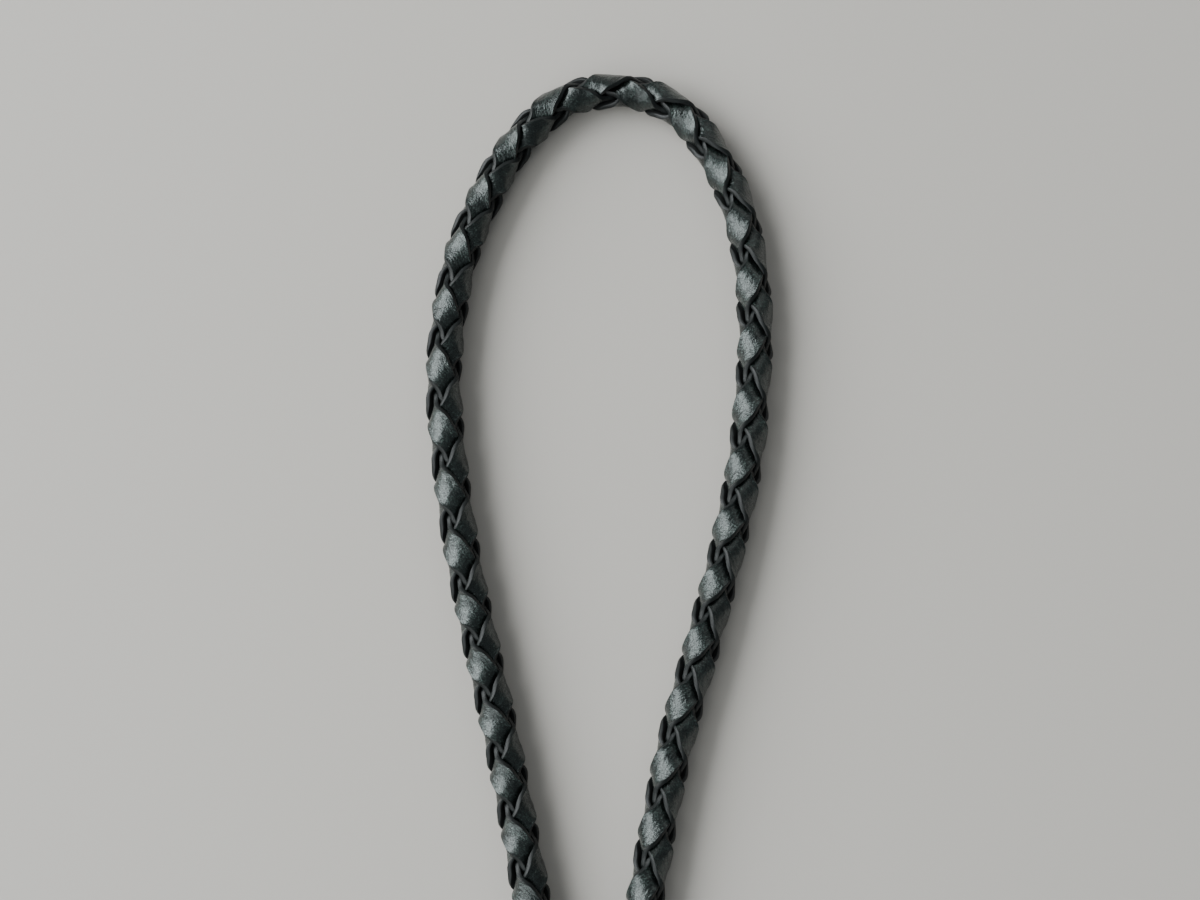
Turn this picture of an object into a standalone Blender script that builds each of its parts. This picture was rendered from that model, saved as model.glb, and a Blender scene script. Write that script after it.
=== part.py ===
# Bolo tie: a round cord braided from four black leather laces, drawn through a plain oval
# slide, with a plain metal tip on each end. It lies flat, with the neck loop furthest away
# (+Y), the slide below it and the two tails side by side. Metres, +Z up.

import math

import bmesh
import bpy
import numpy as np
from mathutils import Vector

# The laces and the braid
LACE_SPAN = 0.0037  # a lace's width where it lies across the cord
LACE_THICKNESS = 0.0010
BRAID_PITCH = 0.0216  # the length of cord in which a lace goes once round it
CORD_LENGTH = 0.914  # between its two cut ends
CORD_CLEARANCE = 0.0003  # round the braid in every bore that it runs in
LIFT_RUN = 0.030  # the stretch in which the lying cord rises to a bore
HEADING_REACH = 0.001  # on each side of a place on the cord, to find which way it runs there

# The slide: an oval plate on a flat clip with two channels
CLIP_LENGTH = 0.020
CLIP_WALL = 0.0008
PLATE_LENGTH = 0.038
PLATE_WIDTH = 0.030
PLATE_THICKNESS = 0.0020
PLATE_CHAMFER = 0.0005
PLATE_SEAT = 0.0005  # how far the plate is let into the top of the clip

# The tips
TIP_LENGTH = 0.045
TIP_WALL = 0.0007
TIP_END_RADIUS = 0.0022
TIP_SOCKET_DEPTH = 0.014
CORD_IN_TIP = 0.012

# The lace's path round the cord, as shares of the lace's span and thickness
OVER_REACH = (0.29, 1.19)  # middle of the lace from the cord's middle, over a crossing
UNDER_REACH = (0.0, 0.57)  # under a crossing
TURNING_REACH = (0.425, 0.34)  # half way between the two
EDGE_BEVEL = 0.35  # of the thickness, off each outer edge
BEARING_LAG = math.radians(37.6)  # how far the lace trails an even turn, half way
FACING_LAG = math.radians(14.0)  # the same for the way that its face looks

# How far the whole braid is turned about the cord, at shares of the cord's length
BRAID_TURNS = (
    (0.00, math.radians(45)),
    (0.30, math.radians(65)),
    (0.45, math.radians(65)),
    (0.55, math.radians(33)),
    (0.75, math.radians(33)),
    (1.00, math.radians(45)),
)

# How many rows of crossings the braid runs ahead of even rows, at shares of the cord's length
ROW_DRIFT = (
    (0.000, 0.25),
    (0.329, 0.20),
    (0.384, 0.57),
    (0.433, 0.40),
    (0.505, 0.20),
    (0.592, -0.29),
    (0.656, -0.30),
    (1.000, -0.13),
)

# The neck loop's route as it lies, from the slide's middle: left leg up, right leg down
LOOP_POINTS = (
    (-0.0101, 0.0499),
    (-0.0150, 0.0741),
    (-0.0190, 0.0914),
    (-0.0229, 0.1092),
    (-0.0256, 0.1274),
    (-0.0267, 0.1415),
    (-0.0255, 0.1555),
    (-0.0235, 0.1651),
    (-0.0198, 0.1748),
    (-0.0145, 0.1847),
    (-0.0058, 0.1938),
    (0.0017, 0.1962),
    (0.0092, 0.1958),
    (0.0167, 0.1920),
    (0.0226, 0.1841),
    (0.0269, 0.1744),
    (0.0290, 0.1651),
    (0.0301, 0.1505),
    (0.0291, 0.1366),
    (0.0281, 0.1274),
    (0.0243, 0.1092),
    (0.0194, 0.0914),
    (0.0145, 0.0741),
    (0.0096, 0.0499),
)
# Where each leg nears the clip: outward from its channel and up from the clip's end
LEG_LEAD = (0.0009, 0.0130)
# Each tail: share of its length down from the clip's end, and outward from its channel
TAIL_POINTS = (
    (0.06, 0.0004),
    (0.20, 0.0022),
    (0.40, 0.0052),
    (0.65, 0.0080),
    (0.90, 0.0090),
    (1.05, 0.0090),
)

ROUND_SIDES = 20  # sides of a bore or of the clip's round edge
PLATE_SIDES = 36
TIP_SIDES = 12
STATIONS_PER_TURN = 8  # lace sections in each turn round the cord


# Sizes that follow from the ones above

def share_of_lace(shares):
    return shares[0] * LACE_SPAN + shares[1] * LACE_THICKNESS


def lace_section(phase, hand, start):
    """The four corners of a lace across the cord, as (forward, sideways) from its middle."""
    over = share_of_lace(OVER_REACH)
    under = share_of_lace(UNDER_REACH)
    turning = share_of_lace(TURNING_REACH)
    middle = (over + under) / 2
    reach = (
        (middle + turning) / 2
        + hand * (over - under) / 2 * math.cos(2 * phase)
        + (middle - turning) / 2 * math.cos(4 * phase)
    )
    swing = math.sin(2 * phase)
    bearing = start + hand * phase - BEARING_LAG * swing
    facing = start + hand * phase - FACING_LAG * swing
    centre = np.array((math.cos(bearing), math.sin(bearing))) * reach
    outward = np.array((math.cos(facing), math.sin(facing)))
    along = np.array((-outward[1], outward[0]))
    half = LACE_SPAN / 2
    outer_half = half - EDGE_BEVEL * LACE_THICKNESS
    rise = outward * LACE_THICKNESS / 2
    return (
        centre + along * outer_half + rise,
        centre - along * outer_half + rise,
        centre - along * half - rise,
        centre + along * half - rise,
    )


def widest_reach():
    """The braid's radius: the furthest corner of any section from the cord's middle."""
    phases = [2 * math.pi * i / STATIONS_PER_TURN for i in range(STATIONS_PER_TURN)]
    corners = [corner for phase in phases for corner in lace_section(phase, 1, 0.0)]
    return max(float(np.hypot(*corner)) for corner in corners)


CORD_RADIUS = widest_reach()
BORE_RADIUS = CORD_RADIUS + CORD_CLEARANCE
CLIP_RADIUS = BORE_RADIUS + CLIP_WALL
CHANNEL_OFFSET = BORE_RADIUS + CLIP_WALL / 2  # from the slide's middle to a channel's
TIP_MOUTH_RADIUS = BORE_RADIUS + TIP_WALL
# A tip rests on the rim of its mouth and on its rounded end, so its axis leans down
TIP_LEAN = math.asin((TIP_MOUTH_RADIUS - TIP_END_RADIUS) / (TIP_LENGTH - TIP_END_RADIUS))
MOUTH_HEIGHT = TIP_MOUTH_RADIUS * math.cos(TIP_LEAN)


# The cord's route

def curve_through(points, steps=16):
    """A smooth line through the points, by centripetal Catmull-Rom."""
    points = [np.array(point, float) for point in points]
    points = [2 * points[0] - points[1], *points, 2 * points[-1] - points[-2]]
    line = []
    for a, b, c, d in zip(points, points[1:], points[2:], points[3:]):
        knots = [0.0]
        for p, q in ((a, b), (b, c), (c, d)):
            knots.append(knots[-1] + math.sqrt(np.linalg.norm(q - p)))
        t0, t1, t2, t3 = knots
        for t in np.linspace(t1, t2, steps, endpoint=False):
            ab = ((t1 - t) * a + (t - t0) * b) / (t1 - t0)
            bc = ((t2 - t) * b + (t - t1) * c) / (t2 - t1)
            cd = ((t3 - t) * c + (t - t2) * d) / (t3 - t2)
            abc = ((t2 - t) * ab + (t - t0) * bc) / (t2 - t0)
            bcd = ((t3 - t) * bc + (t - t1) * cd) / (t3 - t1)
            line.append(((t2 - t) * abc + (t - t1) * bcd) / (t2 - t1))
    line.append(points[-2])
    return np.array(line)


def lengths_along(line):
    steps = np.hypot(*np.diff(line, axis=0).T)
    return np.concatenate(([0.0], np.cumsum(steps)))


class Route:
    """The cord's middle line, by the distance along it from its first cut end."""

    def __init__(self):
        half_clip = CLIP_LENGTH / 2
        lead_out, lead_up = LEG_LEAD
        up_left = (-CHANNEL_OFFSET - lead_out, half_clip + lead_up)
        up_right = (CHANNEL_OFFSET + lead_out, half_clip + lead_up)
        upper = (
            (-CHANNEL_OFFSET, -half_clip), (-CHANNEL_OFFSET, half_clip), up_left,
            *LOOP_POINTS,
            up_right, (CHANNEL_OFFSET, half_clip), (CHANNEL_OFFSET, -half_clip),
        )
        upper_length = lengths_along(curve_through(upper))[-1]
        tail_length = (CORD_LENGTH - upper_length) / 2
        downs = [(out, -half_clip - share * tail_length) for share, out in TAIL_POINTS]
        left = [(-CHANNEL_OFFSET - out, down) for out, down in reversed(downs)]
        right = [(CHANNEL_OFFSET + out, down) for out, down in downs]
        self.line = curve_through((*left, *upper, *right))
        along = lengths_along(self.line)
        spare = (along[-1] - CORD_LENGTH) / 2
        self.along = along - spare
        at_bottom = np.abs(self.line[:, 1] + half_clip)
        middle = len(self.line) // 2
        first = self.along[int(np.argmin(at_bottom[:middle]))]
        self.clip_ends = (first, CORD_LENGTH - first)

    def plan(self, distance):
        return np.array([np.interp(distance, self.along, self.line[:, i]) for i in (0, 1)])

    def height(self, distance):
        """The lying cord rises to the clip's channels and to the mouths of the tips."""
        to_end = min(distance, CORD_LENGTH - distance)
        if to_end < CORD_IN_TIP:
            return MOUTH_HEIGHT - (CORD_IN_TIP - to_end) * math.sin(TIP_LEAN)
        first, last = self.clip_ends
        gaps = []
        for start, end in ((first, first + CLIP_LENGTH), (last - CLIP_LENGTH, last)):
            gaps.append(max(start - distance, distance - end, 0.0))
        to_clip = eased(1 - min(gaps) / LIFT_RUN)
        to_tip = eased(1 - (to_end - CORD_IN_TIP) / LIFT_RUN)
        return (
            CORD_RADIUS
            + (CLIP_RADIUS - CORD_RADIUS) * to_clip
            + (MOUTH_HEIGHT - CORD_RADIUS) * to_tip
        )

    def point(self, distance):
        return np.array((*self.plan(distance), self.height(distance)))

    def heading(self, distance):
        ahead = self.point(distance + HEADING_REACH) - self.point(distance - HEADING_REACH)
        return ahead / np.linalg.norm(ahead)


def eased(share):
    share = min(max(share, 0.0), 1.0)
    return share * share * (3 - 2 * share)


# The pieces

def new_object(name, mesh, group, material):
    piece = bpy.data.objects.new(name, mesh)
    group.objects.link(piece)
    mesh.materials.append(material)
    return piece


def finish_mesh(bm, name):
    bmesh.ops.recalc_face_normals(bm, faces=bm.faces)
    mesh = bpy.data.meshes.new(name)
    bm.to_mesh(mesh)
    bm.free()
    mesh.shade_smooth()
    mesh.set_sharp_from_angle(angle=math.radians(35))
    return mesh


def phase_at(distance):
    """How far the braid has gone: half a turn for each row of crossings."""
    shares, rows = zip(*ROW_DRIFT)
    drift = np.interp(distance / CORD_LENGTH, shares, rows)
    return math.pi * (2 * distance / BRAID_PITCH + drift)


def station_distances():
    """Distances along the cord of a lace's sections: the two cut ends and each eighth turn."""
    step = 2 * math.pi / STATIONS_PER_TURN
    spacing = BRAID_PITCH / STATIONS_PER_TURN
    knots = [share * CORD_LENGTH for share, _ in ROW_DRIFT]
    phases = [phase_at(knot) for knot in knots]
    first = math.ceil(phases[0] / step)
    last = math.floor(phases[-1] / step)
    inner = np.interp([i * step for i in range(first, last + 1)], phases, knots)
    inner = [d for d in inner if spacing / 2 < d < CORD_LENGTH - spacing / 2]
    return [0.0, *inner, CORD_LENGTH]


def lace(name, route, hand, start, group, material):
    """One lace, lofted through its four-cornered sections from end to end of the cord."""
    bm = bmesh.new()
    rings = []
    middles = []
    shares, turns = zip(*BRAID_TURNS)
    for distance in station_distances():
        forward = route.heading(distance)
        side = np.cross(forward, (0.0, 0.0, 1.0))
        side /= np.linalg.norm(side)
        up = np.cross(side, forward)
        phase = phase_at(distance)
        turn = np.interp(distance / CORD_LENGTH, shares, turns)
        middle = route.point(distance)
        ring = []
        for x, y in lace_section(phase, hand, start):
            front = x * math.cos(turn) - y * math.sin(turn)
            across = x * math.sin(turn) + y * math.cos(turn)
            ring.append(bm.verts.new(middle + up * front + side * across))
        rings.append(ring)
        middles.append(middle)
    for i, (ring, following) in enumerate(zip(rings, rings[1:])):
        join_sections(bm, ring, following, Vector(middles[i] + middles[i + 1]) / 2)
    bm.faces.new(rings[0])
    bm.faces.new(reversed(rings[-1]))
    return new_object(name, finish_mesh(bm, name), group, material)


def join_sections(bm, ring, following, middle):
    """Sides between two sections. Each is split so that the lace's face wraps round the cord."""
    rising = (ring[0].co + following[1].co) / 2 - middle
    falling = (ring[1].co + following[0].co) / 2 - middle
    wraps = rising.length > falling.length
    for i, j in zip(range(4), (1, 2, 3, 0)):
        a, b, c, d = ring[i], ring[j], following[j], following[i]
        on_inner_face = i == 2
        if wraps != on_inner_face:
            bm.faces.new((a, b, c))
            bm.faces.new((a, c, d))
        else:
            bm.faces.new((a, b, d))
            bm.faces.new((b, c, d))


def circle_points(centre_x, radius, sides, start=0.0, sweep=2 * math.pi, closed=True):
    count = sides if closed else sides + 1
    angles = [start + sweep * i / sides for i in range(count)]
    return [(centre_x + radius * math.cos(a), radius * math.sin(a)) for a in angles]


def add_outline(curve, points):
    spline = curve.splines.new("POLY")
    spline.points.add(len(points) - 1)
    for point, (x, y) in zip(spline.points, points):
        point.co = (x, y, 0.0, 1.0)
    spline.use_cyclic_u = True


def clip_mesh():
    """The clip: a flat-sided tube with round ends, and a channel through it for each leg."""
    curve = bpy.data.curves.new("clip_outline", "CURVE")
    curve.dimensions = "2D"
    curve.fill_mode = "BOTH"
    curve.extrude = CLIP_LENGTH / 2
    half_turn = ROUND_SIDES // 2
    right = circle_points(CHANNEL_OFFSET, CLIP_RADIUS, half_turn, -math.pi / 2, math.pi, False)
    left = circle_points(-CHANNEL_OFFSET, CLIP_RADIUS, half_turn, math.pi / 2, math.pi, False)
    add_outline(curve, right + left)
    add_outline(curve, circle_points(CHANNEL_OFFSET, BORE_RADIUS, ROUND_SIDES))
    add_outline(curve, circle_points(-CHANNEL_OFFSET, BORE_RADIUS, ROUND_SIDES))
    guide = bpy.data.objects.new("clip_outline", curve)
    bpy.context.scene.collection.objects.link(guide)
    guide.rotation_euler = (math.pi / 2, 0.0, 0.0)
    guide.location = (0.0, 0.0, CLIP_RADIUS)
    bpy.context.view_layer.update()
    graph = bpy.context.evaluated_depsgraph_get()
    mesh = bpy.data.meshes.new_from_object(guide.evaluated_get(graph))
    mesh.transform(guide.matrix_world)
    bpy.data.objects.remove(guide)
    bm = bmesh.new()
    bm.from_mesh(mesh)
    bmesh.ops.remove_doubles(bm, verts=bm.verts, dist=1e-6)
    bpy.data.meshes.remove(mesh)
    return finish_mesh(bm, "slide")


def plate_object(name, group, material):
    """The slide's oval plate, flat in front, with a chamfered rim."""
    bm = bmesh.new()
    bmesh.ops.create_cone(
        bm, cap_ends=True, segments=PLATE_SIDES, radius1=0.5, radius2=0.5, depth=1.0
    )
    bmesh.ops.scale(bm, vec=(PLATE_WIDTH, PLATE_LENGTH, PLATE_THICKNESS), verts=bm.verts)
    middle = 2 * CLIP_RADIUS - PLATE_SEAT + PLATE_THICKNESS / 2
    bmesh.ops.translate(bm, vec=(0.0, 0.0, middle), verts=bm.verts)
    rims = [edge for edge in bm.edges if len(edge.link_faces) == 2
            and max(len(face.verts) for face in edge.link_faces) == PLATE_SIDES]
    bmesh.ops.bevel(
        bm, geom=rims, offset=PLATE_CHAMFER, segments=1, profile=0.5, affect="EDGES",
        clamp_overlap=True,
    )
    return new_object(name, finish_mesh(bm, name), group, material)


def slide(group, helpers, material):
    piece = new_object("slide", clip_mesh(), group, material)
    plate = plate_object("slide_plate", helpers, material)
    plate.hide_render = True
    plate.display_type = "WIRE"
    union = piece.modifiers.new("plate", "BOOLEAN")
    union.operation = "UNION"
    union.solver = "EXACT"
    union.object = plate
    return piece, plate


def tip_profile():
    """Half of the tip's outline, from its rounded end down its side, then up its socket."""
    bend = TIP_LENGTH - TIP_END_RADIUS
    angles = [math.radians(a) for a in (90, 62, 34)] + [TIP_LEAN]
    outer = [(TIP_END_RADIUS * math.cos(a), bend + TIP_END_RADIUS * math.sin(a)) for a in angles]
    outer[0] = (0.0, TIP_LENGTH)
    return [
        *outer,
        (TIP_MOUTH_RADIUS, 0.0),
        (BORE_RADIUS, 0.0),
        (BORE_RADIUS, TIP_SOCKET_DEPTH),
        (0.0, TIP_SOCKET_DEPTH),
    ]


def tip(name, route, at_start, group, material):
    """A tapered tip with a socket for the cord's end. Its axis is its own Z, mouth at 0."""
    mesh = bpy.data.meshes.new(name)
    profile = tip_profile()
    edges = [(i, i + 1) for i in range(len(profile) - 1)]
    mesh.from_pydata([(x, 0.0, z) for x, z in profile], edges, [])
    piece = new_object(name, mesh, group, material)
    turned = piece.modifiers.new("turned", "SCREW")
    turned.steps = TIP_SIDES
    turned.render_steps = TIP_SIDES
    turned.use_merge_vertices = True
    turned.merge_threshold = 0.00001
    turned.use_smooth_shade = True
    distance = CORD_IN_TIP if at_start else CORD_LENGTH - CORD_IN_TIP
    heading = route.heading(distance) * (-1 if at_start else 1)
    piece.location = route.point(distance)
    piece.rotation_euler = (
        math.pi / 2 + TIP_LEAN,
        0.0,
        math.atan2(heading[1], heading[0]) + math.pi / 2,
    )
    return piece


def plain_material(name, colour, metallic, roughness):
    material = bpy.data.materials.new(name)
    material.use_nodes = True
    shader = material.node_tree.nodes["Principled BSDF"]
    shader.inputs["Base Color"].default_value = (*colour, 1.0)
    shader.inputs["Metallic"].default_value = metallic
    shader.inputs["Roughness"].default_value = roughness
    return material


def new_group(name):
    group = bpy.data.collections.new(name)
    bpy.context.scene.collection.children.link(group)
    return group


def centre_on_base(pieces):
    """Moves everything so that the origin is the middle of the box's bottom."""
    bpy.context.view_layer.update()
    graph = bpy.context.evaluated_depsgraph_get()
    corners = []
    for piece in pieces:
        evaluated = piece.evaluated_get(graph)
        world = evaluated.matrix_world
        corners += [world @ vertex.co for vertex in evaluated.data.vertices]
    low = Vector([min(corner[i] for corner in corners) for i in range(3)])
    high = Vector([max(corner[i] for corner in corners) for i in range(3)])
    return Vector((-(low.x + high.x) / 2, -(low.y + high.y) / 2, -low.z))


def main():
    for thing in list(bpy.data.objects):
        bpy.data.objects.remove(thing)
    parts = new_group("bolo_tie")
    helpers = new_group("bolo_tie_helpers")
    leather = plain_material("black_leather", (0.020, 0.022, 0.021), 0.0, 0.42)
    metal = plain_material("nickel_plate", (0.62, 0.60, 0.57), 1.0, 0.28)
    route = Route()
    pieces = [
        lace("lace_right_a", route, 1, 0.0, parts, leather),
        lace("lace_left_a", route, -1, 0.0, parts, leather),
        lace("lace_right_b", route, 1, math.pi, parts, leather),
        lace("lace_left_b", route, -1, math.pi, parts, leather),
    ]
    clip, plate = slide(parts, helpers, metal)
    pieces += [clip, tip("tip_left", route, True, parts, metal)]
    pieces += [tip("tip_right", route, False, parts, metal)]
    base = bpy.data.objects.new("bolo_tie_base", None)
    parts.objects.link(base)
    base.location = centre_on_base(pieces)
    for piece in (*pieces, plate):
        piece.parent = base


main()
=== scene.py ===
# Bolo tie on a table: a round braid of four black leather laces, a plain oval slide and two tips.
import math

import bmesh
import bpy
import numpy as np
from mathutils import Matrix, Vector, noise


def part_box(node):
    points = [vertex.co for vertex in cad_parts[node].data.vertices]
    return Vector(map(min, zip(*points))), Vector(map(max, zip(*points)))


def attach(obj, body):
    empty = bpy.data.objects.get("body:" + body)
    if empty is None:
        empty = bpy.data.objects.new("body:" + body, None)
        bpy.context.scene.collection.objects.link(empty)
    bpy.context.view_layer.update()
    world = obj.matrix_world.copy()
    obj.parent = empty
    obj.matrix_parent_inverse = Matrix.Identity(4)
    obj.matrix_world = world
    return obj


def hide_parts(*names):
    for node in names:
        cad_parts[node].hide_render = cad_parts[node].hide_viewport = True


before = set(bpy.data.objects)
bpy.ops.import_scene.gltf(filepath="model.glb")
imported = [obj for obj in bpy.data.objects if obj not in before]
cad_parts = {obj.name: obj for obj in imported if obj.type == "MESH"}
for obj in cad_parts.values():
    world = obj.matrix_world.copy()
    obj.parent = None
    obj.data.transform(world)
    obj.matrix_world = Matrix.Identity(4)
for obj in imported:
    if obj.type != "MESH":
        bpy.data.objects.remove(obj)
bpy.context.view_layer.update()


# Shared helpers

mergeDistance = 1e-7  # metres: vertices closer than this count as one
rimAngle = 60  # degrees: faces that meet at more than this have a rim between them
millimetres = 1000  # in a metre


def linearColour(hexCode):  # sRGB hex to the linear values that a shader takes
    channels = [int(hexCode[i:i + 2], 16) / 255 for i in (1, 3, 5)]
    linear = [c / 12.92 if c <= 0.04045 else ((c + 0.055) / 1.055) ** 2.4 for c in channels]
    return (*linear, 1.0)


def setStops(elements, stops):  # stops of a colour ramp: (place, colour or grey)
    while len(elements) < len(stops):
        elements.new(0.5)
    for element, (place, tone) in zip(elements, stops):
        element.position = place
        element.color = tone if isinstance(tone, tuple) else (tone, tone, tone, 1.0)


def addNode(tree, kind, settings=None, links=None, label=""):
    # settings holds sockets by name or number, plain properties and a colour ramp's stops;
    # links holds socket: output
    node = tree.nodes.new(kind)
    node.label = label
    for key, value in (settings or {}).items():
        if key == "stops":
            setStops(node.color_ramp.elements, value)
        elif isinstance(key, str) and hasattr(node, key):
            setattr(node, key, value)
        else:
            node.inputs[key].default_value = value
    for key, output in (links or {}).items():
        tree.links.new(output, node.inputs[key])
    return node


def newMaterial(name):
    material = bpy.data.materials.new(name)
    material.use_nodes = True
    tree = material.node_tree
    return material, tree, tree.nodes["Principled BSDF"]


def linkPiece(name, mesh, materials, nodes):
    piece = bpy.data.objects.new(name, mesh)
    bpy.context.scene.collection.objects.link(piece)
    for material in materials:
        mesh.materials.append(material)
    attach(piece, "root")
    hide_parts(*nodes)
    return piece


def meshFrom(bm, name, smoothAngle=35):
    mesh = bpy.data.meshes.new(name)
    bm.to_mesh(mesh)
    bm.free()
    mesh.shade_smooth()
    mesh.set_sharp_from_angle(angle=math.radians(smoothAngle))
    return mesh


# The cord's route, the same points as in the part's source, in metres from the slide's middle

cord = {
    "length": 0.914,
    "pitch": 0.0216,  # length in which a lace goes once round
    "radius": 0.003195,  # of the braid
    "clearance": 0.0003,
    "liftRun": 0.030,
    "inTip": 0.012,
    "headingReach": 0.001,  # on each side of a place, to find which way the cord runs there
}
slideSizes = {
    "clipLength": 0.020,
    "clipWall": 0.0008,
    "plateLength": 0.038,
    "plateWidth": 0.030,
    "plateThickness": 0.0020,
    "plateSeat": 0.0005,
    "rimRound": 0.0007,
    "mouthRound": 0.00025,
    "clipSteps": 66,
    "boreSteps": 48,
    "plateSteps": 144,
    "mouthSteps": 3,
    "rimSteps": 5,
}
tipSizes = {
    "length": 0.045,
    "wall": 0.0007,
    "endRadius": 0.0022,
    "socketDepth": 0.014,
    "mouthRound": 0.0003,
    "turnSteps": 64,
    "endSteps": 12,
}
loopPoints = (
    (-0.0101, 0.0499), (-0.0150, 0.0741), (-0.0190, 0.0914), (-0.0229, 0.1092),
    (-0.0256, 0.1274), (-0.0267, 0.1415), (-0.0255, 0.1555), (-0.0235, 0.1651),
    (-0.0198, 0.1748), (-0.0145, 0.1847), (-0.0058, 0.1938), (0.0017, 0.1962),
    (0.0092, 0.1958), (0.0167, 0.1920), (0.0226, 0.1841), (0.0269, 0.1744),
    (0.0290, 0.1651), (0.0301, 0.1505), (0.0291, 0.1366), (0.0281, 0.1274),
    (0.0243, 0.1092), (0.0194, 0.0914), (0.0145, 0.0741), (0.0096, 0.0499),
)
legLead = (0.0009, 0.0130)  # how far out and up from the clip's top a leg's first point lies
tailPoints = (  # share of the tail's length, and how far out
    (0.06, 0.0004), (0.20, 0.0022), (0.40, 0.0052),
    (0.65, 0.0080), (0.90, 0.0090), (1.05, 0.0090),
)
rowDrift = (  # share of the cord, and how many rows of crossings it runs ahead of even ones
    (0.000, 0.25), (0.329, 0.20), (0.384, 0.57), (0.433, 0.40),
    (0.505, 0.20), (0.592, -0.29), (0.656, -0.30), (1.000, -0.13),
)
braidTurns = (  # share of the cord, and degrees that the braid is turned about the cord there
    (0.00, 45), (0.30, 65), (0.45, 65), (0.55, 33), (0.75, 33), (1.00, 45),
)

boreRadius = cord["radius"] + cord["clearance"]
clipRadius = boreRadius + slideSizes["clipWall"]
channelOffset = boreRadius + slideSizes["clipWall"] / 2
tipMouth = boreRadius + tipSizes["wall"]
tipTaper = tipMouth - tipSizes["endRadius"]
tipLean = math.asin(tipTaper / (tipSizes["length"] - tipSizes["endRadius"]))
mouthHeight = tipMouth * math.cos(tipLean)
slideLow, slideHigh = (Vector(corner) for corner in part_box("slide"))
slideMiddle = Vector(((slideLow.x + slideHigh.x) / 2, (slideLow.y + slideHigh.y) / 2, 0.0))


def eased(share):
    share = np.clip(share, 0.0, 1.0)
    return share * share * (3 - 2 * share)


def curveThrough(points, steps=16):  # centripetal Catmull-Rom
    points = [np.array(point, float) for point in points]
    points = [2 * points[0] - points[1], *points, 2 * points[-1] - points[-2]]
    line = []
    for a, b, c, d in zip(points, points[1:], points[2:], points[3:]):
        knots = [0.0]
        for p, q in ((a, b), (b, c), (c, d)):
            knots.append(knots[-1] + math.sqrt(np.linalg.norm(q - p)))
        t0, t1, t2, t3 = knots
        for t in np.linspace(t1, t2, steps, endpoint=False):
            ab = ((t1 - t) * a + (t - t0) * b) / (t1 - t0)
            bc = ((t2 - t) * b + (t - t1) * c) / (t2 - t1)
            cd = ((t3 - t) * c + (t - t2) * d) / (t3 - t2)
            abc = ((t2 - t) * ab + (t - t0) * bc) / (t2 - t0)
            bcd = ((t3 - t) * bc + (t - t1) * cd) / (t3 - t1)
            line.append(((t2 - t) * abc + (t - t1) * bcd) / (t2 - t1))
    line.append(points[-2])
    return np.array(line)


def lengthsAlong(line):
    steps = np.hypot(*np.diff(line, axis=0).T)
    return np.concatenate(([0.0], np.cumsum(steps)))


def makeRoute():  # the plan line, the distances along it and where the clip starts
    halfClip = slideSizes["clipLength"] / 2
    leadOut, leadUp = legLead
    upper = (
        (-channelOffset, -halfClip), (-channelOffset, halfClip),
        (-channelOffset - leadOut, halfClip + leadUp),
        *loopPoints,
        (channelOffset + leadOut, halfClip + leadUp),
        (channelOffset, halfClip), (channelOffset, -halfClip),
    )
    tailLength = (cord["length"] - lengthsAlong(curveThrough(upper))[-1]) / 2
    downs = [(out, -halfClip - share * tailLength) for share, out in tailPoints]
    left = [(-channelOffset - out, down) for out, down in reversed(downs)]
    right = [(channelOffset + out, down) for out, down in downs]
    line = curveThrough((*left, *upper, *right))
    along = lengthsAlong(line)
    along = along - (along[-1] - cord["length"]) / 2
    nearBottom = np.abs(line[:len(line) // 2, 1] + halfClip)
    start = along[int(np.argmin(nearBottom))]
    return line + np.array((slideMiddle.x, slideMiddle.y)), along, start


routeLine, routeAlong, clipStart = makeRoute()


def planAt(distances):
    return np.column_stack([np.interp(distances, routeAlong, routeLine[:, i]) for i in (0, 1)])


def heightAt(distances):
    toEnd = np.minimum(distances, cord["length"] - distances)
    pastClip = toEnd - clipStart - slideSizes["clipLength"]
    toClip = np.maximum(np.maximum(clipStart - toEnd, pastClip), 0)
    clipShare = eased(1 - toClip / cord["liftRun"])
    tipShare = eased(1 - (toEnd - cord["inTip"]) / cord["liftRun"])
    lying = cord["radius"]
    height = lying + (clipRadius - lying) * clipShare + (mouthHeight - lying) * tipShare
    inside = mouthHeight - (cord["inTip"] - toEnd) * math.sin(tipLean)
    return np.where(toEnd < cord["inTip"], inside, height)


def cordFrames(distances):  # middles, ups and sides at distances along the cord
    reach = cord["headingReach"]
    ahead = planAt(distances + reach) - planAt(distances - reach)
    climb = heightAt(distances + reach) - heightAt(distances - reach)
    forward = np.column_stack((ahead, climb))
    forward /= np.linalg.norm(forward, axis=1)[:, None]
    side = np.cross(forward, (0.0, 0.0, 1.0))
    side /= np.linalg.norm(side, axis=1)[:, None]
    middle = np.column_stack((planAt(distances), heightAt(distances)))
    return middle, np.cross(side, forward), side


print("route: cord", round(cord["length"] * millimetres), "mm,",
      "clip at", round(clipStart * millimetres), "mm")


# The four laces

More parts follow.
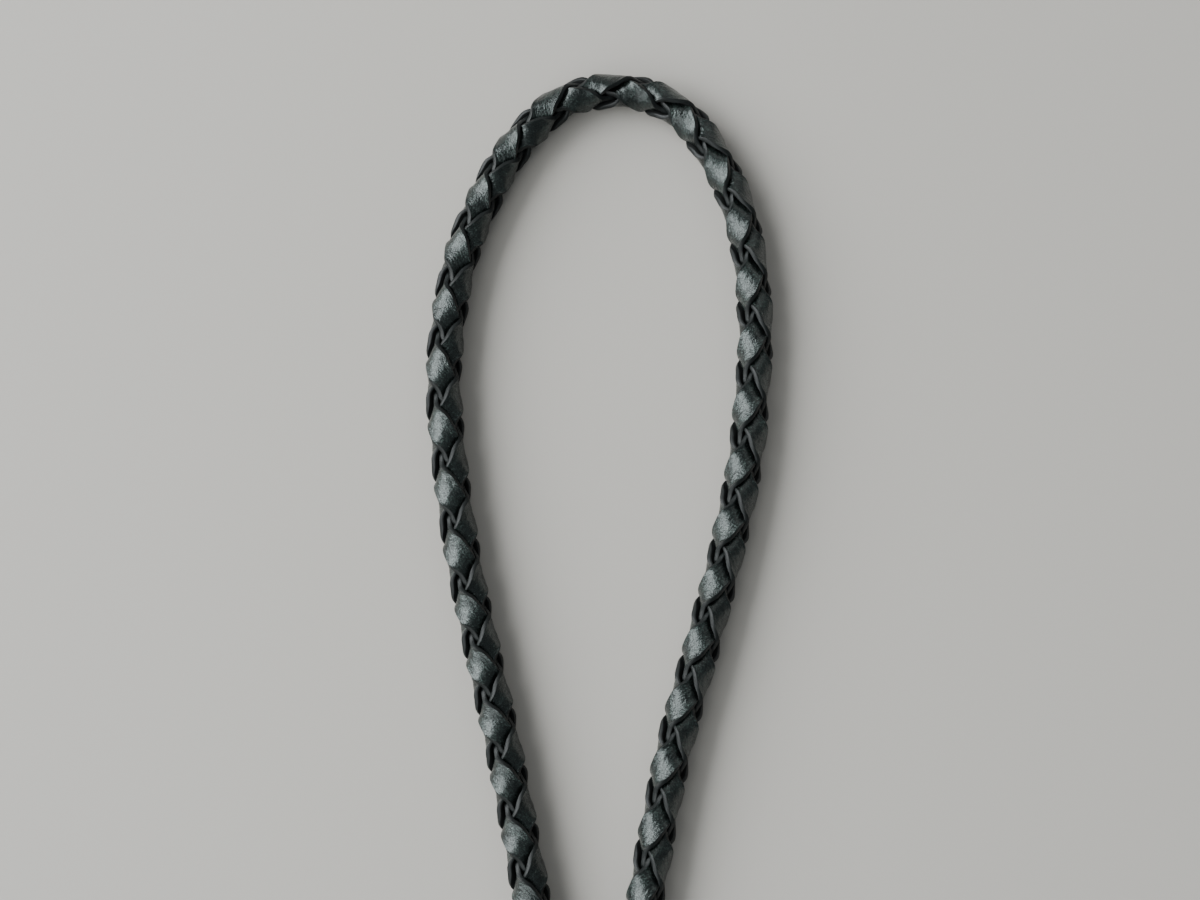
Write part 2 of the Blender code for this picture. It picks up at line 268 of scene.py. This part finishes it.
lace = {
    "span": 0.00470,  # width as it lies across the cord
    "thickness": 0.00097,
    "sectionsPerTurn": 44,
    "acrossFace": 9,
    "over": 0.002350,  # middle of the lace from the cord's middle, over a crossing
    "under": 0.000634,
    "turning": 0.002216,
    "bearingLag": 0.251,  # radians that the lace trails an even turn, half way
    "bearingSway": 0.013,  # the same at the quarters, ahead for one hand and behind for the other
    "facingLag": -0.063,
    "facingSway": -0.165,
    "overBow": 0.00050,  # how far the edges curl down
    "underBow": 0.00020,
    "turningBow": 0.00097,
    "edgeThin": 0.00006,  # how much thinner it is at its edges
    "overSpread": 0.07,  # share that it is wider over a crossing, pulled flat there
    "edgeRound": 0.00012,
    "overFill": 0.00040,  # how much thicker its middle is on the inner side, pressed into the core
    "underFill": 0.00012,
    "turningFill": 0.00040,
    "unevenWidth": 0.04,
    "unevenReach": 0.00004,
    "unevenLean": 0.04,
    "widthRun": 0.011,  # length of cord over which each of the three changes
    "reachRun": 0.006,
    "leanRun": 0.009,
}
seedSpread = (7.31, 3.17)  # sets the laces' unevenness apart


def wander(seed, distances, run):  # a smooth number from about -1 to 1 along the cord
    row = [seed * spread for spread in seedSpread]
    return np.array([noise.noise(Vector((d / run, *row))) for d in distances])


def blendByPhase(over, under, turning, hand, phase):
    middle = (over + under) / 2
    return (
        (middle + turning) / 2
        + hand * (over - under) / 2 * np.cos(2 * phase)
        + (middle - turning) / 2 * np.cos(4 * phase)
    )


def sectionPoints():
    # Round the section: share of the half width, then metres added across, level (1 top, -1
    # bottom), metres added outward, and kind (0 grain face, 1 cut edge, 2 flesh side)
    soft = lace["edgeRound"]
    small, middling = 0.3 * soft, 0.5 * soft
    face = np.linspace(-1, 1, lace["acrossFace"])
    innerSide = (0.6, 0.2, -0.2, -0.6)
    points = [(v, -soft * v, 1, 0.0, 0) for v in face]
    points += [(1, -small, 1, -small, 0), (1, 0.0, 1, -soft, 1), (1, small, 0, 0.0, 1)]
    points += [(1, 0.0, -1, middling, 1), (1, -middling, -1, 0.0, 2)]
    points += [(v, 0.0, -1, 0.0, 2) for v in innerSide]
    points += [(-1, middling, -1, 0.0, 2), (-1, 0.0, -1, middling, 1)]
    points += [(-1, -small, 0, 0.0, 1), (-1, 0.0, 1, -soft, 1), (-1, small, 1, -small, 0)]
    return np.array(points)


def lacePlaces(distances, hand, start, seed):  # rows of section points, one row for each distance
    places, rows = zip(*rowDrift)
    drift = np.interp(distances / cord["length"], places, rows)
    phase = math.pi * (2 * distances / cord["pitch"] + drift)
    swing = np.sin(2 * phase)
    reach = blendByPhase(lace["over"], lace["under"], lace["turning"], hand, phase)
    bow = blendByPhase(lace["overBow"], lace["underBow"], lace["turningBow"], hand, phase)
    fill = blendByPhase(lace["overFill"], lace["underFill"], lace["turningFill"], hand, phase)
    reach = reach + lace["unevenReach"] * wander(seed + 1, distances, lace["reachRun"])
    spread = lace["overSpread"] * hand * np.cos(2 * phase)
    uneven = lace["unevenWidth"] * wander(seed + 2, distances, lace["widthRun"])
    half = lace["span"] / 2 * (1 + spread + uneven)
    shares, degrees = zip(*braidTurns)
    turn = np.radians(np.interp(distances / cord["length"], shares, degrees))
    sway = hand * np.sin(4 * phase)
    evenTurn = start + hand * phase
    bearing = evenTurn - lace["bearingLag"] * swing + lace["bearingSway"] * sway + turn
    facing = evenTurn - lace["facingLag"] * swing + lace["facingSway"] * sway + turn
    facing = facing + lace["unevenLean"] * wander(seed + 3, distances, lace["leanRun"])
    middle, up, side = cordFrames(distances)

    def toward(angle):
        return up * np.cos(angle)[:, None] + side * np.sin(angle)[:, None]

    outward = toward(facing)
    along = toward(facing + math.pi / 2)
    centre = middle + toward(bearing) * reach[:, None]
    share, trim, level, rise, kind = sectionPoints().T
    x = half[:, None] * share + trim
    y = level * lace["thickness"] / 2 + rise - bow[:, None] * share ** 2
    innerRise = lace["edgeThin"] * share ** 4 - fill[:, None] * (1 - share ** 2)
    y = y + np.where(level < 0, innerRise, 0.0)
    return centre[:, None] + along[:, None] * x[..., None] + outward[:, None] * y[..., None]


def makeLace(name, node, hand, start, seed, materials):
    rows = int(cord["length"] / cord["pitch"] * lace["sectionsPerTurn"])
    section = sectionPoints()
    columns = len(section)
    distances = np.linspace(0.0, cord["length"], rows + 1)
    places = lacePlaces(distances, hand, start, seed)
    places = np.concatenate((places, places[:, :1]), axis=1).reshape(-1, 3)
    bm = bmesh.new()
    bm.loops.layers.uv.new("laceMap")
    bmesh.ops.create_grid(bm, x_segments=columns, y_segments=rows, size=1.0, calc_uvs=True)
    for vert, place in zip(bm.verts, places):
        vert.co = place
    bmesh.ops.remove_doubles(bm, verts=bm.verts, dist=mergeDistance)
    bmesh.ops.holes_fill(bm, edges=[e for e in bm.edges if e.is_boundary], sides=0)
    bmesh.ops.recalc_face_normals(bm, faces=bm.faces)
    mesh = meshFrom(bm, name, smoothAngle=50)
    layer = mesh.uv_layers["laceMap"].uv
    uv = np.zeros(len(layer) * 2, dtype=np.float32)
    layer.foreach_get("vector", uv)
    uv = uv.reshape(-1, 2)
    column = np.rint(uv[:, 0] * columns).astype(int)
    starts = np.zeros(len(mesh.polygons), dtype=np.int32)
    sizes = np.zeros(len(mesh.polygons), dtype=np.int32)
    mesh.polygons.foreach_get("loop_start", starts)
    mesh.polygons.foreach_get("loop_total", sizes)
    kinds = section[:, 4].astype(int)
    first = np.minimum.reduceat(column, starts)
    pair = np.column_stack((kinds[first % columns], kinds[(first + 1) % columns]))
    # a face beside a point of a cut edge is cut edge
    faceKind = np.where((pair == 1).any(axis=1), 1, pair.max(axis=1))
    faceKind[sizes > 4] = 1  # the two cut ends
    mesh.polygons.foreach_set("material_index", faceKind.astype(np.int32))
    # the UV map is in millimetres: along the cord, and across the lace
    across = np.append(section[:, 0], section[0, 0]) * lace["span"] / 2 * millimetres
    level = np.append(section[:, 2], section[0, 2]) * lace["thickness"] / 2 * millimetres
    uv = np.column_stack((uv[:, 1] * cord["length"] * millimetres, across[column] + level[column]))
    layer.foreach_set("vector", uv.astype(np.float32).ravel())
    return linkPiece(name, mesh, materials, [node])


leather = {
    "lowGrain": "#060808",
    "dyedGrain": "#0c1110",
    # pale wax colour on the high grain: partly real bloom, partly painted sparkle of the light
    "waxBloomAndSparkle": "#424e4a",
    "scuff": "#56625c",
    "sheen": "#e9f5f2",
    "dyeRoughness": 0.30,
    "waxRoughness": 0.16,
    "grainCells": 4.6,  # in a millimetre, as the four below
    "specks": 4.4,
    "creases": 1.1,
    "waxPatches": 0.30,
    "pores": 1.5,
    "cutEdge": ("#080a0a", "#1e2423"),
    "flesh": ("#070909", "#121615"),
}


def grainLeather():
    # Dyed cowhide lace with a waxed grain face: near black, with a grey-green bloom of wax on the
    # raised grain that catches the window light, so its sheen looks speckled and half glossy. The
    # pale specks of that bloom in the base colour are partly real wax and partly painted sparkle,
    # a painted highlight standing in for the window light glinting off the grain.
    material, tree, shader = newMaterial("waxed black cowhide lace")
    laceMap = addNode(tree, "ShaderNodeUVMap", {"uv_map": "laceMap"})
    drawn = addNode(tree, "ShaderNodeMapping", {"Scale": (0.85, 1.0, 1.0)},
                    {"Vector": laceMap.outputs["UV"]}, "drawn out a little along the lace")
    grain = addNode(tree, "ShaderNodeTexVoronoi",
                    {"feature": "F1", "Scale": leather["grainCells"], "Randomness": 1.0},
                    {"Vector": drawn.outputs["Vector"]}, "grain, cells of 0.2 mm")
    fine = addNode(tree, "ShaderNodeTexNoise",
                   {"Scale": leather["specks"], "Detail": 3.0, "Roughness": 0.6},
                   {"Vector": drawn.outputs["Vector"]}, "wax specks, 0.2 mm")
    crease = addNode(tree, "ShaderNodeTexNoise",
                     {"Scale": leather["creases"], "Detail": 3.0, "Roughness": 0.55,
                      "Distortion": 0.4},
                     {"Vector": drawn.outputs["Vector"]}, "soft creases, 1 mm")
    patch = addNode(tree, "ShaderNodeTexNoise",
                    {"Scale": leather["waxPatches"], "Detail": 2.0, "Roughness": 0.5},
                    {"Vector": laceMap.outputs["UV"]}, "uneven wax, patches of 3 mm")
    speck = addNode(tree, "ShaderNodeValToRGB", {"stops": [(0.47, 0.0), (0.60, 1.0)]},
                    {"Fac": fine.outputs["Fac"]}, "wax on the high grain")
    bloom = addNode(tree, "ShaderNodeMath", {"operation": "MULTIPLY"},
                    {0: speck.outputs["Color"], 1: patch.outputs["Fac"]})
    # painted sparkle: the pale top of this ramp, on the high grain, is partly wax bloom and partly
    # a painted highlight of the window light
    dyed = addNode(tree, "ShaderNodeValToRGB", {"stops": [
        (0.04, linearColour(leather["lowGrain"])),
        (0.26, linearColour(leather["dyedGrain"])),
        (0.58, linearColour(leather["waxBloomAndSparkle"])),
    ]}, {"Fac": bloom.outputs["Value"]}, "dye to wax bloom and painted sparkle")
    dots = addNode(tree, "ShaderNodeTexVoronoi",
                   {"feature": "F1", "Scale": leather["pores"], "Randomness": 1.0},
                   {"Vector": drawn.outputs["Vector"]}, "scuffed pores, 0.7 mm apart")
    dot = addNode(tree, "ShaderNodeValToRGB", {"stops": [(0.10, 1.0), (0.22, 0.0)]},
                  {"Fac": dots.outputs["Distance"]}, "0.2 mm across")
    chosen = addNode(tree, "ShaderNodeValToRGB", {"stops": [(0.50, 0.0), (0.62, 1.0)]},
                     {"Fac": crease.outputs["Fac"]}, "some of them")
    scuff = addNode(tree, "ShaderNodeMath", {"operation": "MULTIPLY"},
                    {0: dot.outputs["Color"], 1: chosen.outputs["Color"]}, "scuffs")
    colour = addNode(tree, "ShaderNodeMix",
                     {"data_type": "RGBA", 7: linearColour(leather["scuff"])},
                     {0: scuff.outputs["Value"], 6: dyed.outputs["Color"]}, "scuffed dye")
    gloss = addNode(tree, "ShaderNodeValToRGB", {"stops": [
        (0.0, leather["dyeRoughness"]), (1.0, leather["waxRoughness"]),
    ]}, {"Fac": speck.outputs["Color"]}, "roughness")
    pebble = addNode(tree, "ShaderNodeMath", {"operation": "MULTIPLY_ADD", 1: -0.7},
                     {0: grain.outputs["Distance"], 2: crease.outputs["Fac"]})
    heights = addNode(tree, "ShaderNodeMath", {"operation": "MULTIPLY_ADD", 1: 0.5},
                      {0: fine.outputs["Fac"], 2: pebble.outputs["Value"]})
    bump = addNode(tree, "ShaderNodeBump", {"Strength": 0.6, "Distance": 0.00008},
                   {"Height": heights.outputs["Value"]})
    waves = addNode(tree, "ShaderNodeBump", {"Strength": 0.6, "Distance": 0.00028},
                    {"Height": crease.outputs["Fac"], "Normal": bump.outputs["Normal"]})
    tree.links.new(colour.outputs[2], shader.inputs["Base Color"])
    tree.links.new(gloss.outputs["Color"], shader.inputs["Roughness"])
    tree.links.new(waves.outputs["Normal"], shader.inputs["Normal"])
    shader.inputs["Specular IOR Level"].default_value = 0.55
    shader.inputs["Specular Tint"].default_value = linearColour(leather["sheen"])
    shader.inputs["Coat Weight"].default_value = 0.15
    shader.inputs["Coat Roughness"].default_value = 0.24
    return material


def cutEdgeLeather():
    # The lace's knife-cut edge: dyed black and rubbed smooth, so it is darker than the face and
    # takes the light only where it looks straight at the window.
    material, tree, shader = newMaterial("rubbed cut edge of lace")
    laceMap = addNode(tree, "ShaderNodeUVMap", {"uv_map": "laceMap"})
    drawn = addNode(tree, "ShaderNodeMapping", {"Scale": (0.5, 2.0, 1.0)},
                    {"Vector": laceMap.outputs["UV"]}, "fibres along the edge")
    fibre = addNode(tree, "ShaderNodeTexNoise", {"Scale": 4.0, "Detail": 4.0, "Roughness": 0.65},
                    {"Vector": drawn.outputs["Vector"]}, "cut fibres")
    colour = addNode(tree, "ShaderNodeValToRGB", {"stops": [
        (0.35, linearColour(leather["cutEdge"][0])), (0.75, linearColour(leather["cutEdge"][1])),
    ]}, {"Fac": fibre.outputs["Fac"]}, "dyed fibres")
    bump = addNode(tree, "ShaderNodeBump", {"Strength": 0.4, "Distance": 0.00010},
                   {"Height": fibre.outputs["Fac"]})
    tree.links.new(colour.outputs["Color"], shader.inputs["Base Color"])
    tree.links.new(bump.outputs["Normal"], shader.inputs["Normal"])
    shader.inputs["Roughness"].default_value = 0.42
    shader.inputs["Specular IOR Level"].default_value = 0.3
    return material


def fleshLeather():
    # The suede side of the lace, turned in towards the cord's core: dyed, napped and dull.
    material, tree, shader = newMaterial("dyed flesh side of lace")
    laceMap = addNode(tree, "ShaderNodeUVMap", {"uv_map": "laceMap"})
    nap = addNode(tree, "ShaderNodeTexNoise", {"Scale": 4.0, "Detail": 5.0, "Roughness": 0.7},
                  {"Vector": laceMap.outputs["UV"]}, "nap")
    colour = addNode(tree, "ShaderNodeValToRGB", {"stops": [
        (0.3, linearColour(leather["flesh"][0])), (0.8, linearColour(leather["flesh"][1])),
    ]}, {"Fac": nap.outputs["Fac"]}, "dyed nap")
    tree.links.new(colour.outputs["Color"], shader.inputs["Base Color"])
    shader.inputs["Roughness"].default_value = 0.9
    return material


laceMaterials = [grainLeather(), cutEdgeLeather(), fleshLeather()]
laceRows = (  # name, CAD node, hand, bearing at the start, seed
    ("laceRightA", "lace_right_a", 1, 0.0, 11),
    ("laceLeftA", "lace_left_a", -1, 0.0, 23),
    ("laceRightB", "lace_right_b", 1, math.pi, 37),
    ("laceLeftB", "lace_left_b", -1, math.pi, 41),
)
for name, node, hand, start, seed in laceRows:
    piece = makeLace(name, node, hand, start, seed, laceMaterials)
    print("lace", name, len(piece.data.polygons), "faces")


# The slide: an oval plate on a flat clip with a channel for each leg

def stadium(bm, halfApart, radius, segments):
    # A ring round two equal circles: a circle parted at its top and bottom vertices, which stay
    ring = bmesh.ops.create_circle(bm, segments=segments, radius=radius)["verts"]
    right = [v for v in ring if v.co.x > mergeDistance]
    left = [v for v in ring if v.co.x < -mergeDistance]
    bmesh.ops.translate(bm, verts=right, vec=(halfApart, 0.0, 0.0))
    bmesh.ops.translate(bm, verts=left, vec=(-halfApart, 0.0, 0.0))
    return ring


def roundRims(bm, edges, width, steps):
    bmesh.ops.bevel(bm, geom=edges, offset=width, offset_type="OFFSET", segments=steps,
                    profile=0.5, affect="EDGES", clamp_overlap=True, material=-1)


def rimEdges(edges):
    return [e for e in edges if e.is_manifold and e.calc_face_angle() > math.radians(rimAngle)]


def makeSlide(metal):
    bm = bmesh.new()
    half = slideSizes["clipLength"] / 2
    stadium(bm, channelOffset, clipRadius, slideSizes["clipSteps"])
    for x in (-channelOffset, channelOffset):
        hole = bmesh.ops.create_circle(
            bm, segments=slideSizes["boreSteps"], radius=boreRadius)["verts"]
        bmesh.ops.translate(bm, verts=hole, vec=(x, 0.0, 0.0))
    bmesh.ops.triangle_fill(bm, edges=list(bm.edges), use_beauty=True)
    out = bmesh.ops.extrude_face_region(bm, geom=list(bm.faces))["geom"]
    bmesh.ops.translate(bm, verts=[g for g in out if isinstance(g, bmesh.types.BMVert)],
                        vec=(0.0, 0.0, slideSizes["clipLength"]))
    bmesh.ops.recalc_face_normals(bm, faces=bm.faces)
    roundRims(bm, rimEdges(bm.edges), slideSizes["mouthRound"], slideSizes["mouthSteps"])
    turn = Matrix.Rotation(math.radians(90), 4, "X")
    place = Matrix.Translation(slideMiddle + Vector((0.0, half, clipRadius)))
    bmesh.ops.transform(bm, matrix=place @ turn, verts=bm.verts)
    clipVerts = set(bm.verts)

    ring = bmesh.ops.create_circle(
        bm, cap_ends=True, segments=slideSizes["plateSteps"], radius=0.5)["verts"]
    out = bmesh.ops.extrude_face_region(bm, geom=list(ring[0].link_faces))["geom"]
    top = [g for g in out if isinstance(g, bmesh.types.BMVert)]
    bmesh.ops.translate(bm, verts=top, vec=(0.0, 0.0, slideSizes["plateThickness"]))
    plate = [v for v in bm.verts if v not in clipVerts]
    size = (slideSizes["plateWidth"], slideSizes["plateLength"], 1.0)
    bmesh.ops.scale(bm, vec=size, verts=plate)
    bmesh.ops.translate(bm, verts=plate, vec=slideMiddle + Vector(
        (0.0, 0.0, 2 * clipRadius - slideSizes["plateSeat"])))
    plateFaces = [f for f in bm.faces if f.verts[0] not in clipVerts]
    bmesh.ops.recalc_face_normals(bm, faces=plateFaces)
    rims = rimEdges([e for e in bm.edges if e.verts[0] not in clipVerts])
    roundRims(bm, rims, slideSizes["rimRound"], slideSizes["rimSteps"])
    mesh = meshFrom(bm, "slideMesh", smoothAngle=30)
    return linkPiece("plainSlide", mesh, [metal], ["slide"])


nickel = {
    "dark": "#b4aea5",
    "bright": "#c9c4bc",
    "slideBrush": (9000.0, 350.0, 2000.0),  # lines in a metre on each axis
    "tipBrush": (900.0, 900.0, 900.0),
    "slideRoughness": 0.24,
    "tipRoughness": 0.18,
    "handled": 0.09,  # how much rougher it is where fingers have been
    "handledPatches": 180.0,  # in a metre
}


def nickelPlate(name, brush, gloss):
    # Nickel plate over brass: a warm grey metal, brushed one way on the slide and satin on the
    # tips, and softened by handling, so it takes broad highlights with a faint grain in them.
    material, tree, shader = newMaterial(name)
    place = addNode(tree, "ShaderNodeTexCoord")
    drawn = addNode(tree, "ShaderNodeMapping", {"Scale": brush},
                    {"Vector": place.outputs["Object"]}, "metres to brush lines")
    lines = addNode(tree, "ShaderNodeTexNoise", {"Scale": 1.0, "Detail": 5.0, "Roughness": 0.6},
                    {"Vector": drawn.outputs["Vector"]}, "brushed lines")
    wear = addNode(tree, "ShaderNodeTexNoise",
                   {"Scale": nickel["handledPatches"], "Detail": 4.0, "Roughness": 0.55},
                   {"Vector": place.outputs["Object"]}, "handled patches, 6 mm")
    both = addNode(tree, "ShaderNodeMath", {"operation": "ADD"},
                   {0: lines.outputs["Fac"], 1: wear.outputs["Fac"]})
    rough = addNode(tree, "ShaderNodeValToRGB", {"stops": [
        (0.3, gloss), (0.7, gloss + nickel["handled"]),
    ]}, {"Fac": wear.outputs["Fac"]}, "roughness")
    colour = addNode(tree, "ShaderNodeValToRGB", {"stops": [
        (0.35, linearColour(nickel["dark"])), (0.70, linearColour(nickel["bright"])),
    ]}, {"Fac": both.outputs["Value"]}, "dark to bright nickel")
    bump = addNode(tree, "ShaderNodeBump", {"Strength": 0.35, "Distance": 0.00004},
                   {"Height": lines.outputs["Fac"]})
    tree.links.new(colour.outputs["Color"], shader.inputs["Base Color"])
    tree.links.new(rough.outputs["Color"], shader.inputs["Roughness"])
    tree.links.new(bump.outputs["Normal"], shader.inputs["Normal"])
    shader.inputs["Metallic"].default_value = 1.0
    return material


makeSlide(nickelPlate("brushed nickel plate", nickel["slideBrush"], nickel["slideRoughness"]))
print("slide")


# The tips: a tapered, turned end on each tail

def makeTip(name, node, atStart, metal):
    outline = []
    length, endRadius = tipSizes["length"], tipSizes["endRadius"]
    bend = length - endRadius
    for degrees in np.linspace(90, math.degrees(tipLean), tipSizes["endSteps"]):
        a = math.radians(degrees)
        outline.append((endRadius * math.cos(a), bend + endRadius * math.sin(a)))
    outline[0] = (0.0, length)  # exactly on the axis
    rim = tipSizes["mouthRound"]
    outline += [(tipMouth - rim * 0.02, rim), (tipMouth - rim * 0.3, rim * 0.3)]
    outline += [(tipMouth - rim, 0.0)]
    outline += [(boreRadius + rim * 0.5, 0.0), (boreRadius, rim * 0.5)]
    outline += [(boreRadius, tipSizes["socketDepth"]), (0.0, tipSizes["socketDepth"])]
    bm = bmesh.new()
    verts = [bm.verts.new((x, 0.0, z)) for x, z in outline]
    edges = [bm.edges.new(pair) for pair in zip(verts, verts[1:])]
    bmesh.ops.spin(bm, geom=verts + edges, cent=(0, 0, 0), axis=(0, 0, 1), angle=2 * math.pi,
                   steps=tipSizes["turnSteps"], use_merge=True)
    bmesh.ops.remove_doubles(bm, verts=bm.verts, dist=mergeDistance)
    bmesh.ops.recalc_face_normals(bm, faces=bm.faces)
    distance = cord["inTip"] if atStart else cord["length"] - cord["inTip"]
    reach = cord["headingReach"]
    near = planAt(np.array((distance - reach, distance, distance + reach)))
    away = (near[2] - near[0]) * (-1 if atStart else 1)
    away = Vector((away[0], away[1], 0.0)).normalized()
    axis = away * math.cos(tipLean) - Vector((0.0, 0.0, math.sin(tipLean)))
    turn = axis.to_track_quat("Z", "Y").to_matrix().to_4x4()
    place = Matrix.Translation(Vector((near[1][0], near[1][1], mouthHeight)))
    bmesh.ops.transform(bm, matrix=place @ turn, verts=bm.verts)
    mesh = meshFrom(bm, name)
    return linkPiece(name, mesh, [metal], [node])


tipMetal = nickelPlate("turned nickel plate", nickel["tipBrush"], nickel["tipRoughness"])
makeTip("tipLeft", "tip_left", True, tipMetal)
makeTip("tipRight", "tip_right", False, tipMetal)
print("tips")


# Floor, light and camera

view = {
    "elevation": 78.0,  # degrees above the table
    "distance": 0.320,
    "pixelsPerMetre": 5500.0,  # of the photo, at its middle
    "photoWidth": 1200,
    "aim": (0.0017, 0.1280),  # the photo's middle, from the slide's middle
    "sensor": 36.0,
    "clip": (0.01, 20.0),
}
studio = {
    "tableColour": "#bdb9b2",
    "tableRoughness": 0.8,
    "tableSize": 6.0,
    "roomColour": "#b9bfc3",
    "roomStrength": 0.46,
    "lightAim": (0.0, 0.1, 0.0),
}
lightRows = (  # name, place, size, watts, colour
    ("windowLight", (-1.34, 0.54, 0.82), (1.7, 1.2), 58.0, (0.95, 0.98, 1.0)),
    ("frontFill", (-1.05, -0.85, 0.95), (1.4, 1.1), 17.0, (0.96, 0.99, 1.0)),
    ("backFill", (0.55, 1.6, 1.15), (1.5, 1.0), 4.0, (1.0, 0.98, 0.95)),
)


def addFloor():
    bm = bmesh.new()
    bmesh.ops.create_grid(bm, x_segments=1, y_segments=1, size=studio["tableSize"] / 2)
    mesh = meshFrom(bm, "tableTop")
    floor = bpy.data.objects.new("tableTop", mesh)
    bpy.context.scene.collection.objects.link(floor)
    material, tree, shader = newMaterial("plain pale table")
    shader.inputs["Base Color"].default_value = linearColour(studio["tableColour"])
    shader.inputs["Roughness"].default_value = studio["tableRoughness"]
    mesh.materials.append(material)


def addCamera():
    data = bpy.data.cameras.new("camera")
    camera = bpy.data.objects.new("camera", data)
    bpy.context.scene.collection.objects.link(camera)
    tilt = math.radians(view["elevation"])
    aim = slideMiddle + Vector((view["aim"][0], view["aim"][1], 0.0))
    back = Vector((0.0, -math.cos(tilt), math.sin(tilt)))
    camera.location = aim + back * view["distance"]
    camera.rotation_euler = (math.radians(90) - tilt, 0.0, 0.0)
    widthShown = view["photoWidth"] / view["pixelsPerMetre"]
    data.sensor_width = view["sensor"]
    data.lens = view["sensor"] * view["distance"] / widthShown
    data.clip_start, data.clip_end = view["clip"]
    bpy.context.scene.camera = camera


def addAreaLight(name, place, size, power, colour):
    data = bpy.data.lights.new(name, "AREA")
    data.shape = "RECTANGLE"
    data.size, data.size_y = size
    data.energy = power
    data.color = colour
    light = bpy.data.objects.new(name, data)
    bpy.context.scene.collection.objects.link(light)
    light.location = place
    toAim = Vector(studio["lightAim"]) - Vector(place)
    light.rotation_euler = toAim.to_track_quat("-Z", "Y").to_euler()


addFloor()
addCamera()
for row in lightRows:
    addAreaLight(*row)
world = bpy.data.worlds.new("softRoom")
world.use_nodes = True
background = world.node_tree.nodes["Background"]
background.inputs["Color"].default_value = linearColour(studio["roomColour"])
background.inputs["Strength"].default_value = studio["roomStrength"]
bpy.context.scene.world = world
print("stage, lights and camera")
